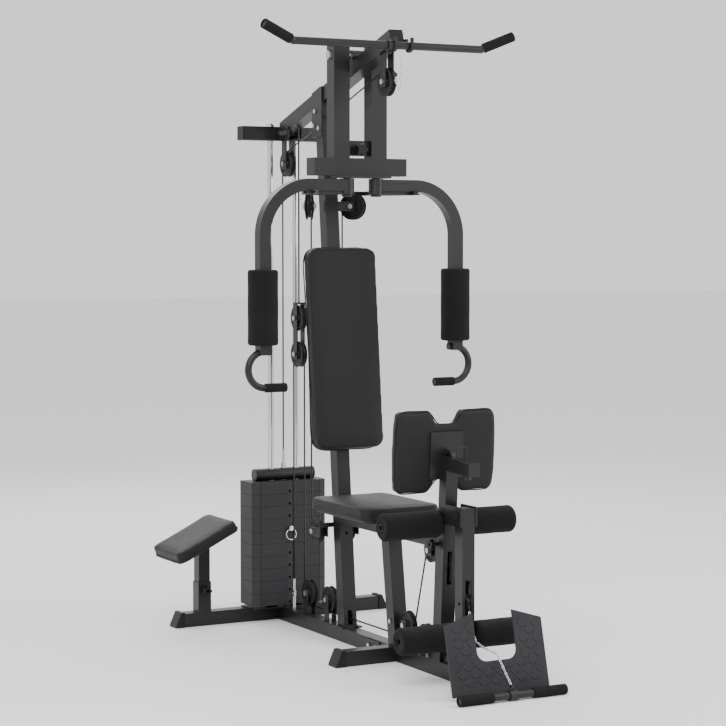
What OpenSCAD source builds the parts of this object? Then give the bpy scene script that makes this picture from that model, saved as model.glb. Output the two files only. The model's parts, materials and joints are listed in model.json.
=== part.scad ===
// Multi station home gym: stack, press and pec arms, leg developer, curl pads.
// Millimetres, +Z up, origin on the floor under the rear upright, +X to the right, front at -Y.

/* [Frame] */
// Side of the square frame tubes
tube_w = 50; // [40:1:60]
// Wall of the frame tubes
tube_t = 3; // [2:0.5:4]
// Lean of the rear upright in degrees
upright_lean = 5.4; // [0:0.1:8]
// Slope of the top beam in degrees
beam_slope = 18; // [10:0.5:25]
// Height of the front end of the top beam
beam_top = 2089; // [2000:1:2150]
// Half length of the rear stabiliser
stab_half = 400; // [350:5:450]

/* [Weight stack] */
// Number of plates
plate_count = 10; // [6:1:12]
// Plates carried by the selector pin
plates_up = 4; // [1:1:9]
// Distance from plate to plate
plate_pitch = 45.5; // [40:0.5:50]
// Gap between plates
plate_gap = 0.8; // [0.5:0.1:1.5]
// Half width of a plate
plate_hw = 150; // [120:1:160]
// Depth of a plate
plate_d = 110; // [90:1:120]
// Radius of a guide rod
rod_r = 11; // [9:0.5:12.5]

/* [Stations] */
// Half distance between the pec arm foams
arm_x = 373; // [340:1:400]
// Radius of the pec foams
arm_foam_r = 51; // [40:1:60]
// Radius of the leg rollers
roller_r = 44; // [35:1:50]
// Radius of a pulley
pulley_r = 47.5; // [40:0.5:55]

/* [Hidden] */
$fn = 48;
w = tube_w;
h = w / 2;
t = tube_t;
run = 0.08;
stack_y = 465;
stack_z = 62;
rod_x = 51;
pin_z = stack_z + plate_pitch * (plate_count - plates_up) + 8;
stack_top = stack_z + plate_pitch * plate_count - plate_gap;
groove = pulley_r - 4.5;
beam_y = -375;
beam_s = tan(beam_slope);
black = [0.12, 0.12, 0.13];
vinyl = [0.08, 0.08, 0.085];
steel = [0.75, 0.76, 0.78];
iron = [0.2, 0.2, 0.21];
// pulley places: x, y, z, turn about z
p_rear = [0, stack_y - groove, 1676, 0];
p_front = [0, -321, 1923, 0];
splay = 35;
cam_r = 152;
p_left = [-86, 80, 1560 - groove, -splay];
p_right = [86, 80, 1560 - groove, splay];
p_block_a = [0, 334, 1117, 0];
p_block_b = [0, 334, 987, 0];
p_low_a = [0, 248, 127, 0];
p_low_b = [0, 90, 127, 0];
p_seat = [0, 0, 378, 0];
p_post_a = [0, -466, 127, 0];
p_post_b = [0, -590, 112, 0];
p_dev = [0, -628, 398, 0];
leg_pivot = [0, -828, 535];
press_pivot = [0, -110, 2024];
post_lean = 3.6;
post_base = [0, -690, 50];
sleeve_x = 56;
// the pec cable leaves the cam along the plane of the splayed wheel
pec_run = (cam_r * cos(splay) + sleeve_x - 86) / sin(splay);
sleeve_y = 80 - pec_run * cos(splay) - cam_r * sin(splay);
pec_x = 86 - groove * sin(splay);
pec_y = 80 + groove * cos(splay);
arm_z = 1590;

// ---- helpers ----
module bar3(a, b, r) {
  v = b - a;
  l = norm(v);
  translate(a) rotate([0, acos(v[2] / l), atan2(v[1], v[0])]) cylinder(r = r, h = l);
}
module path3(pts, r) {
  for (i = [0 : len(pts) - 2]) bar3(pts[i], pts[i + 1], r);
  for (i = [1 : len(pts) - 2]) translate(pts[i]) sphere(r = r + 0.4);
}
module arc_yz(c, rad, a0, a1, r) {
  translate([c[0], c[1], c[2]]) rotate([90, 0, 90]) rotate([0, 0, a0])
    rotate_extrude(angle = a1 - a0) translate([rad, 0]) circle(r = r);
}
module arc_xz(c, rad, a0, a1, r) {
  translate(c) rotate([90, 0, 0]) rotate([0, 0, a0])
    rotate_extrude(angle = a1 - a0) translate([rad, 0]) circle(r = r);
}
module xcyl(c, r, l) {
  translate(c) rotate([0, 90, 0]) cylinder(r = r, h = l, center = true);
}
module ycyl(c, r, l) {
  translate(c) rotate([90, 0, 0]) cylinder(r = r, h = l, center = true);
}
module xtube(x0, x1, y0, z0) {
  difference() {
    translate([x0, y0, z0]) cube([x1 - x0, w, w]);
    translate([x0 - 1, y0 + t, z0 + t]) cube([x1 - x0 + 2, w - 2 * t, w - 2 * t]);
  }
}
module rounded(x, y, r) {
  translate([r, 0]) square([x - 2 * r, y]);
  translate([0, r]) square([x, y - 2 * r]);
  for (i = [r, x - r], j = [r, y - r]) translate([i, j]) circle(r = r);
}
module at(p) {
  translate([p[0], p[1], p[2]]) rotate([0, 0, p[3]]) children();
}
module wheel(r = pulley_r, hw = 11, bore = 6 + run) {
  rotate([0, 90, 0]) rotate_extrude() polygon([
    [bore, -hw], [r * 0.32, -hw], [r * 0.36, -hw + 4], [r * 0.72, -hw + 4], [r * 0.78, -hw + 1],
    [r, -hw + 1], [r, -hw + 3], [r - 8, -3], [r - 8, 3], [r, hw - 3], [r, hw - 1],
    [r * 0.78, hw - 1], [r * 0.72, hw - 4], [r * 0.36, hw - 4], [r * 0.32, hw], [bore, hw]]);
}
module beam_at(y, down) {
  translate([0, y, beam_top - (y - beam_y) * beam_s]) rotate([-beam_slope, 0, 0]) translate([0, 0, -down])
    children();
}
module cheeks(z0, z1, y0 = -16, y1 = 16, gap = 12.5, tt = 4) {
  for (s = [-1, 1]) difference() {
    translate([s > 0 ? gap : -gap - tt, y0, z0]) cube([tt, y1 - y0, z1 - z0]);
    xcyl([0, 0, 0], 6.02, 80);
  }
}
module bolt_x(c, r = 6, l = 47.2) {
  xcyl(c, r, l);
  for (s = [-1, 1]) translate([c[0] + s * l / 2 - (s > 0 ? 7 : 0), c[1], c[2]]) rotate([0, 90, 0])
    cylinder(r = r * 1.65, h = 7, $fn = 6);
}

// ---- frame ----
module base_frame() color(black) {
  difference() {
    translate([-h, -1000, 0]) cube([w, 1462, w]);
    translate([-h + t, -1001, t]) cube([w - 2 * t, 1462, w - 2 * t]);
    for (y = [-300, -252]) xcyl([0, y, 25], 5.15, 74);
  }
  xtube(-stab_half, stab_half, 462, 0);
  for (s = [-1, 1]) difference() {
    translate([s > 0 ? h : -h - 190, -430, 0]) cube([190, w, w]);
    translate([s > 0 ? h - 1 : -h - 191, -430 + t, t]) cube([192, w - 2 * t, w - 2 * t]);
  }
  // joint sleeve halves over the seam of the beam
  for (s = [-1, 1]) difference() {
    translate([s > 0 ? h : -h - 4, -320, 4]) cube([4, 90, w - 8]);
    for (y = [-300, -252]) xcyl([0, y, 25], 5.15, 74);
  }
  // pad post sleeve on the stabiliser
  difference() {
    translate([-345, 462, w]) cube([w, w, 110]);
    translate([-345 + t, 462 + t, w - 1]) cube([w - 2 * t, w - 2 * t, 120]);
    ycyl([-320, 462, 130], 6.5, 20);
  }
  // stop block on the beam
  translate([-14, -752, w]) cube([28, 32, 22]);
}
module cap_x(s, x, y) {
  translate([x, y, 0]) rotate([90, 0, 0]) linear_extrude(height = w + 8)
    polygon([[0, 0], [s * 36, 0], [s * 34, 10], [s * 14, w + 5], [0, w + 5]]);
}
module end_caps() color(vinyl) {
  beam_ends();
  for (s = [-1, 1]) {
    cap_x(s, s * stab_half, 462 + w + 4);
    cap_x(s, s * (h + 190), -430 + w + 4);
  }
}
module lean_tube(c, a, len, wd = w, dp = w) {
  translate(c) rotate([a, 0, 0]) difference() {
    translate([-wd / 2, -dp / 2, -60]) cube([wd, dp, len + 60]);
    translate([-wd / 2 + t, -dp / 2 + t, -61]) cube([wd - 2 * t, dp - 2 * t, len + 63]);
  }
}
module rear_upright() color(black) {
  difference() {
    lean_tube([0, -39, w], -upright_lean, 1950);
    translate([-60, -200, -100]) cube([120, 400, 100 + w]);
    // top end is cut to the underside of the beam
    beam_at(130, w) translate([-60, -400, 0]) cube([120, 800, 400]);
    // cable slot at the foot and the small hole in the face
    translate([-9, -90, 62]) cube([18, 120, 50]);
    // bore for the upper cable
    bar3([0, 436, 1716.8], [0, -307, 1963.8], 6);
    ycyl([0, -40, 379], 5, 70);
  }
  // foot plate of the upright
  translate([-h - 14, -75, w]) cube([14, 72, 6]);
  translate([h, -75, w]) cube([14, 72, 6]);
}
module top_beam() color(black) {
  difference() {
    translate([0, beam_y, beam_top]) rotate([-beam_slope, 0, 0]) difference() {
      translate([-h, 0, -w]) cube([w, 900, w]);
      translate([-h + t, -1, -w + t]) cube([w - 2 * t, 902, w - 2 * t]);
    }
    translate([-60, 440, 1600]) cube([120, 200, 400]);
  }
  difference() {
    xtube(-165, 165, 440, 1760);
    for (s = [-1, 1]) translate([s * rod_x, stack_y, 1700]) cylinder(r = rod_r + 0.05, h = 200);
  }
  // joint plates on the upright and gussets at the rear
  for (s = [-1, 1]) {
    difference() {
      translate([s > 0 ? h - 1 : -h - 6, 95, 1760]) cube([7, 74, 175]);
      beam_at(130, -2) translate([-60, -300, 0]) cube([120, 600, 200]);
      translate([0, -39, w]) rotate([-upright_lean, 0, 0]) translate([-h - 0.05, -h - 0.05, 0])
        cube([w + 0.1, w + 0.1, 1980]);
    }
    translate([s > 0 ? h - 1 : -h - 6, 360, 1765]) cube([7, 80, 42]);
  }
  // bearing block of the press axle
  difference() {
    union() {
      xcyl(press_pivot, 20, w - 1);
      beam_at(-110, 0) translate([-h + 1, -18, -1.5]) cube([w - 2, 36, 11]);
    }
    xcyl(press_pivot, 10 + run, w + 20);
  }
  // hooks for the long bar
  for (s = [-1, 1]) {
    // a rod that hangs from the side of the beam and turns up in front
    translate([s * 31 - 4.5, 0, 0]) rotate([90, 0, 90]) linear_extrude(height = 9) {
      difference() {
        translate([-416, 2035]) circle(r = 22.5);
        translate([-416, 2035]) circle(r = 13.6);
        translate([-460, 2035]) square([90, 60]);
      }
      translate([-438.5, 2034.9]) square([8.9, 26]);
      translate([-402.4, 2034.9]) square([8.9, 24]);
      translate([-402.4, 2050]) square([44, 9]);
    }
  }
}
module beam_ends() {
  translate([0, beam_y, beam_top]) rotate([-beam_slope, 0, 0]) translate([-h, -5, -w]) cube([w, 5, w]);
  for (s = [-1, 1]) translate([s > 0 ? 165 : -171, 440, 1760]) cube([6, w, w]);
  translate([-h, -1005, 0]) cube([w, 5, w]);
}
module seat_frame() color(black) {
  // seat post on the beam, cut flat under the seat tube, with a cable slot
  difference() {
    translate([0, -403, w]) rotate([-8, 0, 0]) difference() {
      translate([-h, -h, -60]) cube([w, w, 560]);
      translate([-h + t, -h + t, -61]) cube([w - 2 * t, w - 2 * t, 562]);
    }
    translate([-60, -600, -100]) cube([120, 400, 100 + w]);
    translate([-60, -600, 415]) cube([120, 600, 300]);
    translate([-9, -480, 62]) cube([18, 140, 60]);
  }
  // seat tube from the upright to the front post
  difference() {
    translate([-h, -686, 415]) cube([w, 662, w]);
    translate([-h + t, -700, 415 + t]) cube([w - 2 * t, 700, w - 2 * t]);
    // slot over the wheel under the tube
    translate([-12.4, -674, 410]) cube([24.8, 92, 12]);
    translate([0, -39, w]) rotate([-upright_lean, 0, 0]) translate([-h - 1, -h - 0.05, 0]) cube([w + 2, 90, 800]);
    translate(post_base) rotate([post_lean, 0, 0]) translate([-h - 1, -h - 40, 0]) cube([w + 2, w + 40.05, 700]);
  }
}
module front_post() color(black) {
  difference() {
    lean_tube(post_base, post_lean, 486);
    translate([-60, -900, -100]) cube([120, 400, 100 + w]);
    xcyl([0, -718, 497], 12.55, 80);
    translate([-9, -780, 300]) cube([18, 120, 110]);
    xcyl([-25, -697, 428], 6.5, 12);
  }
  // hinge plates of the leg arm
  for (s = [-1, 1]) difference() {
    translate([s > 0 ? h - 1 : -h - 6, -852, 500]) cube([7, 150, 62]);
    xcyl(leg_pivot, 8.02, 120);
    xcyl([0, -718, 497], 12.55, 120);
    translate([-60, -760, 545]) rotate([0, 0, 0]) cube([120, 100, 40]);
  }
  bolt_x(leg_pivot, 8, 78);
}
module foot_plate() color(iron) {
  translate([0, -1045, 12]) rotate([76, 0, 0]) {
    linear_extrude(height = 5) difference() {
      polygon([[-175, 0], [175, 0], [175, 218], [71, 250], [71, 130], [40, 100], [-40, 100], [-71, 130],
        [-71, 250], [-175, 218]]);
      for (s = [-1, 1]) translate([s * 40, 131]) circle(r = 31);
      translate([-40, 100]) square([80, 31]);
    }
  }
  // struts from the beam
  for (s = [-1, 1]) difference() {
    translate([s > 0 ? h : -h - 5, -1046, 14]) cube([5, 100, 32]);
    translate([0, -1045, 12]) rotate([76, 0, 0]) translate([-60, -40, -0.01]) cube([120, 120, 40]);
  }
}
module guide_rods() color(steel) {
  for (s = [-1, 1]) {
    translate([s * rod_x, stack_y, 54]) cylinder(r = rod_r, h = 1768);
    translate([s * rod_x, stack_y, 1810]) cylinder(r = 16, h = 8);
  }
}
module stack_base() color(black) {
  stack_bumpers();
  difference() {
    translate([-plate_hw, stack_y - plate_d / 2, w]) cube([2 * plate_hw, plate_d, 4]);
    translate([0, stack_y, 40]) cylinder(r = 14, h = 30);
  }
}
module stack_bumpers() {
  for (s = [-1, 1]) translate([s * rod_x, stack_y, 54]) difference() {
    cylinder(r = 22, h = stack_z - 54);
    translate([0, 0, -1]) cylinder(r = rod_r + 0.3, h = 30);
  }
}
module plate_shape() {
  d = plate_d / 2;
  difference() {
    polygon([[-plate_hw, d], [plate_hw, d], [plate_hw, -d + 12], [plate_hw - 28, -d], [-plate_hw + 28, -d],
      [-plate_hw, -d + 12]]);
    for (s = [-1, 1]) translate([s * rod_x, 0]) circle(r = rod_r + run);
    circle(r = 9 + run);
    for (s = [-1, 1]) translate([s * (plate_hw - 30), -d - 1]) square([1.5, 3]);
    translate([-14, -d - 1]) square([28, 3]);
  }
}
module plate_at(i) {
  translate([0, stack_y, stack_z + plate_pitch * i]) difference() {
    linear_extrude(height = plate_pitch - plate_gap) plate_shape();
    translate([0, -plate_d / 2 - 1, 8]) rotate([-90, 0, 0]) cylinder(r = 5 + run, h = plate_d / 2 + 8);
  }
}
module plates_lower() color(iron) for (i = [0 : plate_count - plates_up - 1]) plate_at(i);
module plates_upper() color(iron) for (i = [plate_count - plates_up : plate_count - 1]) plate_at(i);
module stack_head() color(black) {
  difference() {
    xcyl([0, stack_y, stack_top + 22.5], 23, 240);
    translate([-130, stack_y - 40, stack_top - 30]) cube([260, 80, 30]);
    for (s = [-1, 1]) translate([s * rod_x, stack_y, 400]) cylinder(r = rod_r + run, h = 300);
    translate([0, stack_y, 400]) cylinder(r = 9.05, h = 300);
  }
}
module selector_rod() color(steel) {
  stack_stud();
  difference() {
  translate([0, stack_y, stack_z + 4]) cylinder(r = 9, h = stack_top + 50 - stack_z - 4);
  for (i = [0 : plate_count - 1]) translate([0, stack_y - 20, stack_z + plate_pitch * i + 8])
    rotate([-90, 0, 0]) cylinder(r = 5 + run, h = 40);
  }
}
module stack_stud() {
  translate([0, stack_y, stack_top + 49]) cylinder(r = 11, h = 13, $fn = 6);
  translate([0, stack_y, stack_top + 62]) cylinder(r = 6, h = 30);
  translate([0, stack_y, stack_top + 92]) cylinder(r = 5, h = 22);
}
module selector_pin() color(steel) {
  translate([0, stack_y - plate_d / 2 - 14, pin_z]) rotate([-90, 0, 0]) cylinder(r = 5, h = 14 + plate_d / 2 + 6);
  translate([0, stack_y - plate_d / 2 - 12, pin_z]) rotate([-90, 0, 0]) cylinder(r = 9, h = 8);
  translate([0, stack_y - plate_d / 2 - 10, pin_z - 22]) rotate([90, 0, 0]) rotate_extrude()
    translate([20, 0]) circle(r = 2);
}

// ---- pads ----
module back_tilt() {
  translate([0, -39, w]) rotate([-upright_lean, 0, 0]) children();
}
module back_pad() color(vinyl) back_tilt() translate([-135, -h - 20, 620]) rotate([90, 0, 0])
  linear_extrude(height = 46) rounded(270, 703, 38);
module pad_boards() color(black) {
  seat_board();
  back_board();
}
module back_board() back_tilt() {
  translate([-118, -h - 8, 637]) rotate([90, 0, 0]) linear_extrude(height = 12) rounded(236, 669, 26);
  for (z = [760, 1180]) translate([-70, -h - 8, z]) cube([140, 8, 40]);
}
module seat_pad() color(vinyl) translate([-150, -440, 474]) {
  linear_extrude(height = 42) difference() {
    rounded(300, 408, 36);
    translate([-50, -1]) rotate([0, 0, 12]) translate([-80, -80]) square([100, 90]);
  }
}
module seat_board() {
  translate([-132, -422, 466]) linear_extrude(height = 8) rounded(264, 372, 26);
  for (y = [-340, -150]) translate([-60, y, 465]) cube([120, 30, 1]);
}
module curl_frame() {
  translate(post_base) rotate([post_lean, 0, 0]) children();
}

// ---- pulleys ----
module pulley_brackets() color(black) {
  at(p_rear) {
    cheeks(-18, 84, -18, 18);
    translate([-16.5, -18, 84]) cube([33, 18, 4]);
  }
  for (s = [-1, 1]) translate([s > 0 ? 12.5 : -16.5, 404, 1756]) cube([4, 35.9, 15.3]);
  at(p_front) difference() {
    cheeks(-18, 120, -18, 18);
    translate([0, 0, 0]) translate([-30, -200, 0]) translate([0, 200, 0]) rotate([-beam_slope, 0, 0])
      translate([0, -60, 91]) cube([60, 160, 80]);
  }
  for (p = [p_left, p_right]) {
    at(p) cheeks(-18, 18, -14, 14);
  }
  // arms from the upright to the splayed wheels
  for (s = [-1, 1]) difference() {
    translate([s > 0 ? h : -h - 46, 74, 1500]) cube([46, 12, 34]);
    at(s > 0 ? p_right : p_left) translate([-12.5, -60, -60]) cube([60, 120, 120]);
    at(s > 0 ? p_right : p_left) xcyl([0, 0, 0], 11.5, 60);
    at(s > 0 ? p_right : p_left) translate([s > 0 ? -12.5 : -47.5, -60, -60]) cube([60, 120, 120]);
  }
  for (p = [p_low_a, p_low_b, p_post_a, p_post_b]) at(p) cheeks(w - p[2], 16, -16, 16);
  // floating block of two wheels
  translate([0, 334, 0]) for (s = [-1, 1]) difference() {
    translate([s > 0 ? 12.5 : -16.5, -15, 968]) cube([4, 30, 200]);
    for (z = [1117, 987]) xcyl([0, 0, z], 6.02, 80);
  }
  translate([-16.5, 319, 1168]) cube([33, 30, 6]);
  // wheels behind the upright under the seat, with the anchors of their cables
  for (s = [-1, 1], o = [-16.5, 12.5]) difference() {
    translate([s * pec_x + o, 20, 362]) cube([4, pec_y - gs + 16 - 20, 34]);
    xcyl([0, pec_y - gs, p_seat[2]], 6.02, 200);
  }
  translate([-pec_x - 16.5, 20.5, 396]) cube([2 * pec_x + 33, 4, 16]);
  difference() {
    translate([-pec_x - 10, 25.2, 452]) cube([2 * pec_x + 20, 17.4, 6]);
    for (s = [-1, 1]) translate([s * pec_x, pec_y - 2 * gs, 440]) cylinder(r = 3, h = 30);
  }
  // wheel under the seat tube by the front post
  for (s = [-1, 1]) difference() {
    translate([s > 0 ? 12.5 : -16.5, -646, 380]) cube([4, 36, 35]);
    xcyl([0, p_dev[1], p_dev[2]], 6.02, 90);
  }
}
module pulley_bolts() color(steel) {
  for (p = [p_rear, p_front, p_left, p_right, p_block_a, p_block_b, p_low_a, p_low_b, p_post_a, p_post_b, p_dev])
    at(p) bolt_x([0, 0, 0]);
  for (s = [-1, 1]) bolt_x([s * pec_x, pec_y - gs, p_seat[2]]);
}
module pulley_rear() color(vinyl) at(p_rear) wheel();
module pulley_front() color(vinyl) at(p_front) wheel();
module pulley_left() color(vinyl) at(p_left) wheel();
module pulley_right() color(vinyl) at(p_right) wheel();
module pulley_block_top() color(vinyl) at(p_block_a) wheel();
module pulley_block_low() color(vinyl) at(p_block_b) wheel();
module pulley_low_rear() color(vinyl) at(p_low_a) wheel();
module pulley_low_front() color(vinyl) at(p_low_b) wheel();
module pulley_seat() color(vinyl) for (s = [-1, 1]) translate([s * pec_x, pec_y - gs, p_seat[2]]) wheel(44);
module pulley_post_rear() color(vinyl) at(p_post_a) wheel();
module pulley_post_front() color(vinyl) at(p_post_b) wheel(40);
module pulley_dev() color(vinyl) at(p_dev) wheel(40);
module pulley_leg() color(vinyl) translate([0, -828, 255]) wheel(30, 9, 5 + run);

// ---- press and pec arms ----
module press_frame() color(black) {
  for (s = [-1, 1]) difference() {
    translate([s > 0 ? 42 : -102, -137, 1677]) difference() {
      cube([60, 54, 386]);
      translate([t, t, -1]) cube([60 - 2 * t, 54 - 2 * t, 384]);
    }
    xcyl(press_pivot, 10.02, 300);
  }
  difference() {
    translate([-173, -140, 1617]) cube([346, 60, 60]);
    translate([-174, -137, 1620]) cube([348, 54, 54]);
  }
  for (s = [-1, 1]) translate([s > 0 ? 173 : -178, -140, 1617]) cube([5, 60, 60]);
  // hinge pins of the pec arms
  for (s = [-1, 1]) {
    translate([s * sleeve_x, sleeve_y, 1550]) cylinder(r = 12, h = 67);
    translate([s * sleeve_x, sleeve_y, 1546]) cylinder(r = 18, h = 6);
  }
  translate([-100, sleeve_y - 30, 1609]) cube([200, 60, 8]);
  // lock plate between the tubes
  difference() {
    translate([-42, -118, 1685]) cube([84, 8, 52]);
    ycyl([0, -118, 1706], 6 + run, 40);
  }
}
module press_axle() color(steel) {
  xcyl(press_pivot, 10, 226);
  for (s = [-1, 1]) translate([s > 0 ? 102.2 : -112.2, press_pivot[1], press_pivot[2]]) rotate([0, 90, 0])
    cylinder(r = 16, h = 10, $fn = 6);
}
module lobes(r, n, hh, bore) {
  linear_extrude(height = hh) difference() {
    union() {
      circle(r = r * 0.72);
      for (i = [0 : n - 1]) rotate([0, 0, i * 360 / n]) translate([r * 0.68, 0]) circle(r = r * 0.3);
    }
    circle(r = bore);
  }
}
module lock_knob() color(vinyl) {
  ycyl([0, -128, 1706], 6, 50);
  translate([0, -135, 1706]) rotate([90, 0, 0]) lobes(22, 5, 18, 5.9);
}
module arm_run(k) {
  // square tube out from the sleeve, round the bend and down
  x0 = k > 17 ? sleeve_x + 8 : sleeve_x + 30;
  translate([x0, sleeve_y - k, 1585 - k]) cube([203 - x0, 2 * k, 2 * k]);
  translate([203, sleeve_y, 1415]) rotate([90, 0, 0]) rotate_extrude(angle = 90)
    translate([170 - k, -k]) square(2 * k);
  translate([arm_x - k, sleeve_y - k, 1035 - k]) cube([2 * k, 2 * k, 380 + k]);
}
module pec_arm(s) color(black) {
  mirror([s < 0 ? 1 : 0, 0, 0]) {
    difference() {
      union() {
        translate([sleeve_x, sleeve_y, 1553]) cylinder(r = 25, h = 54);
        arm_run(20);
        // curved cable cam under the sleeve
        translate([sleeve_x, sleeve_y, 1553]) difference() {
          linear_extrude(height = 14) union() {
            difference() {
              circle(r = 156);
              circle(r = 134);
              polygon([[0, 0], [-30, 400], [-400, 400], [-400, -400], [400, -400], [400, -120]]);
            }
            translate([20, -12]) square([120, 24]);
            rotate([0, 0, 75]) translate([20, -9]) square([120, 18]);
          }
          translate([0, 0, 7]) rotate_extrude() translate([cam_r - 3, -3]) square([12, 6]);
        }
      }
      translate([sleeve_x, sleeve_y, 1500]) cylinder(r = 12 + run, h = 200);
      arm_run(17);
    }
    // bent hand grip
    bar3([344, sleeve_y, 1028], [366, sleeve_y, 1028], 12);
    arc_xz([366, sleeve_y, 966.5], 61.5, -90, 90, 12);
    bar3([289, sleeve_y, 905], [366, sleeve_y, 905], 12);
  }
}
module pec_arm_left() pec_arm(-1);
module pec_arm_right() pec_arm(1);
module pec_foam(s) color(vinyl) {
  pec_grip(s);
  pec_sleeve(s);
}
module pec_sleeve(s) translate([s * arm_x, sleeve_y, 1048]) difference() {
  cylinder(r = arm_foam_r, h = 252);
  translate([-20.03, -20.03, -1]) cube([40.06, 40.06, 260]);
}
module pec_foam_left() pec_foam(-1);
module pec_foam_right() pec_foam(1);
module pec_grip(s) difference() {
  xcyl([s * 327, sleeve_y, 905], 15.5, 78);
  xcyl([s * 327, sleeve_y, 905], 12.02, 90);
}

// ---- leg developer ----
module leg_arm() color(black) {
  difference() {
    translate([-22.5, -850, 118]) difference() {
      cube([45, 45, 440]);
      translate([t, t, -1]) cube([45 - 2 * t, 45 - 2 * t, 442]);
    }
    xcyl(leg_pivot, 8 + run, 90);
    translate([-11, -900, 215]) cube([22, 120, 115]);
    xcyl([0, -828, 255], 5.02, 90);
    xcyl([0, -828, 153], 12.52, 90);
  }
  difference() {
    xcyl(leg_pivot, 13, 39);
    xcyl(leg_pivot, 8 + run, 60);
  }
  difference() {
    xcyl([0, -828, 153], 12.5, 476);
    xcyl([0, -828, 153], 10, 480);
  }
  xcyl([0, -828, 255], 5, 52);
  translate([-22.5, -850, 554]) cube([45, 45, 4]);
  translate([-22.5, -850, 114]) cube([45, 45, 4]);
}
module foam_pair(y, z) {
  for (s = [-1, 1]) {
    difference() {
      xcyl([s * 135, y, z], roller_r, 200);
      xcyl([s * 135, y, z], 12.52, 210);
    }
    translate([s > 0 ? 235 : -241, y, z]) rotate([0, 90, 0]) difference() {
      cylinder(r = roller_r - 9, h = 6);
      translate([0, 0, -1]) cylinder(r = 12.52, h = 9);
    }
  }
}
module leg_foams() color(vinyl) foam_pair(-828, 153);
module knee_foams() color(vinyl) foam_pair(-718, 497);
module knee_tube() color(black) difference() {
  xcyl([0, -718, 497], 12.5, 486);
  xcyl([0, -718, 497], 10, 500);
}

// ---- pads on posts ----
module curl_post() color(black) curl_frame() {
  difference() {
    translate([-21.9, -21.9, 280]) cube([43.8, 43.8, 374]);
    translate([-19, -19, 279]) cube([38, 38, 372]);
    // fork over the knee tube
    translate([-30, -13.2, 200]) cube([60, 26.4, 262]);
    translate([-30, -30, 200]) cube([60, 60, 158]);
  }
  // tube that carries the pad, its cap, arch, wire guard and clamp
  translate([-21.9, -21.9, 650]) cube([43.8, 43.8, 4]);
  difference() {
    translate([-20, -150, 622]) cube([40, 168, 40]);
    translate([-17, -151, 625]) cube([34, 120, 34]);
  }
  translate([-21, -154, 621]) cube([42, 4.5, 42]);
  translate([-8, 0, 0]) rotate([90, 0, 90]) linear_extrude(height = 16) difference() {
    translate([-4, 658]) circle(r = 26);
    translate([-4, 658]) circle(r = 15);
    translate([-60, 600]) square([120, 60]);
  }
  translate([-60, 17, 590]) cube([120, 5, 150]);
  for (s = [-1, 1]) translate([s * 17, -74, 661]) cylinder(r = 2.2, h = 44);
  xcyl([0, -74, 703], 2.2, 36);
  translate([0, -112, 606]) cylinder(r = 12, h = 17);
}
module curl_pad() color(vinyl) curl_frame() translate([0, 62.2, 545]) rotate([90, 0, 0])
  linear_extrude(height = 40) difference() {
    intersection() {
      translate([-185, 0]) rounded(370, 262, 30);
      translate([-715, 131]) circle(r = 900);
      translate([715, 131]) circle(r = 900);
    }
    polygon([[-36, 218], [36, 218], [64, 270], [-64, 270]]);
    polygon([[-36, 42], [36, 42], [64, -8], [-64, -8]]);
  }
module curl_knob() color(vinyl) {
  xcyl([-32.6, -697, 428], 5, 21);
  translate([-39, -697, 428]) rotate([0, -90, 0]) lobes(18, 5, 14, 4.9);
}
module arm_post() color(black) {
  difference() {
    translate([-320 - 21.9, 487 - 21.9, 70]) cube([43.8, 43.8, 215]);
    translate([-320 - 19, 487 - 19, 69]) cube([38, 38, 210]);
  }
  // tilted carrier of the pad
  translate([-352, 452, 305]) rotate([0, -26, 0]) translate([-70, -60, -6]) cube([140, 110, 6]);
  translate([-340, 470, 283]) cube([40, 34, 22]);
}
module arm_pad() color(vinyl) translate([-352, 452, 305]) rotate([0, -26, 0]) translate([-128, -125, 0])
  linear_extrude(height = 40) rounded(256, 250, 26);
module arm_knob() color(vinyl) {
  ycyl([-320, 456.4, 130], 6, 17);
  translate([-320, 450, 130]) rotate([90, 0, 0]) lobes(18, 5, 16, 5.9);
}

// ---- bars ----
lat_c = [-45, -416, 2035];
module lat_bar() color(black) {
  xcyl(lat_c, 13, 700);
  for (s = [-1, 1]) {
    translate(lat_c + [s * 350, 0, 0]) sphere(r = 13.4);
    bar3(lat_c + [s * 350, 0, 0], lat_c + [s * 462, -20, 46], 13);
  }
  difference() {
    xcyl(lat_c, 18, 18);
    xcyl(lat_c, 12.9, 30);
  }
  translate(lat_c + [0, 0, -22]) rotate([90, 0, 0]) rotate_extrude() translate([5.5, 0]) circle(r = 2.6);
}
module lat_grips() color(vinyl) for (s = [-1, 1]) difference() {
  bar3(lat_c + [s * 360, -1.8, 4.1], lat_c + [s * 465, -20.6, 47.2], 17);
  bar3(lat_c + [s * 340, 1.8, -4.1], lat_c + [s * 480, -23.2, 53.4], 13.05);
}
low_c = [0, -1112, 17];
module low_bar() color(black) {
  xcyl(low_c, 12, 376);
  difference() {
    xcyl(low_c, 16.5, 30);
    xcyl(low_c, 11.9, 34);
  }
  translate(low_c + [0, 8, 20]) rotate([90, 0, 90]) rotate_extrude() translate([8, 0]) circle(r = 3);
}
module low_grips() color(vinyl) for (s = [-1, 1]) {
  difference() {
    xcyl(low_c + [s * 132, 0, 0], 16, 120);
    xcyl(low_c + [s * 132, 0, 0], 12.02, 130);
  }
  difference() {
    xcyl(low_c + [s * 68, 0, 0], 17, 6);
    xcyl(low_c + [s * 68, 0, 0], 12.02, 12);
  }
}

// ---- cables and chains ----
cr = 2.8;
hair = 0.04;
module run3(a, b) {
  u = (b - a) / norm(b - a);
  bar3(a + u * hair, b - u * hair, cr);
}
gs = 39.5;
gd = 35.5;
gl = 25.5;
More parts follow.
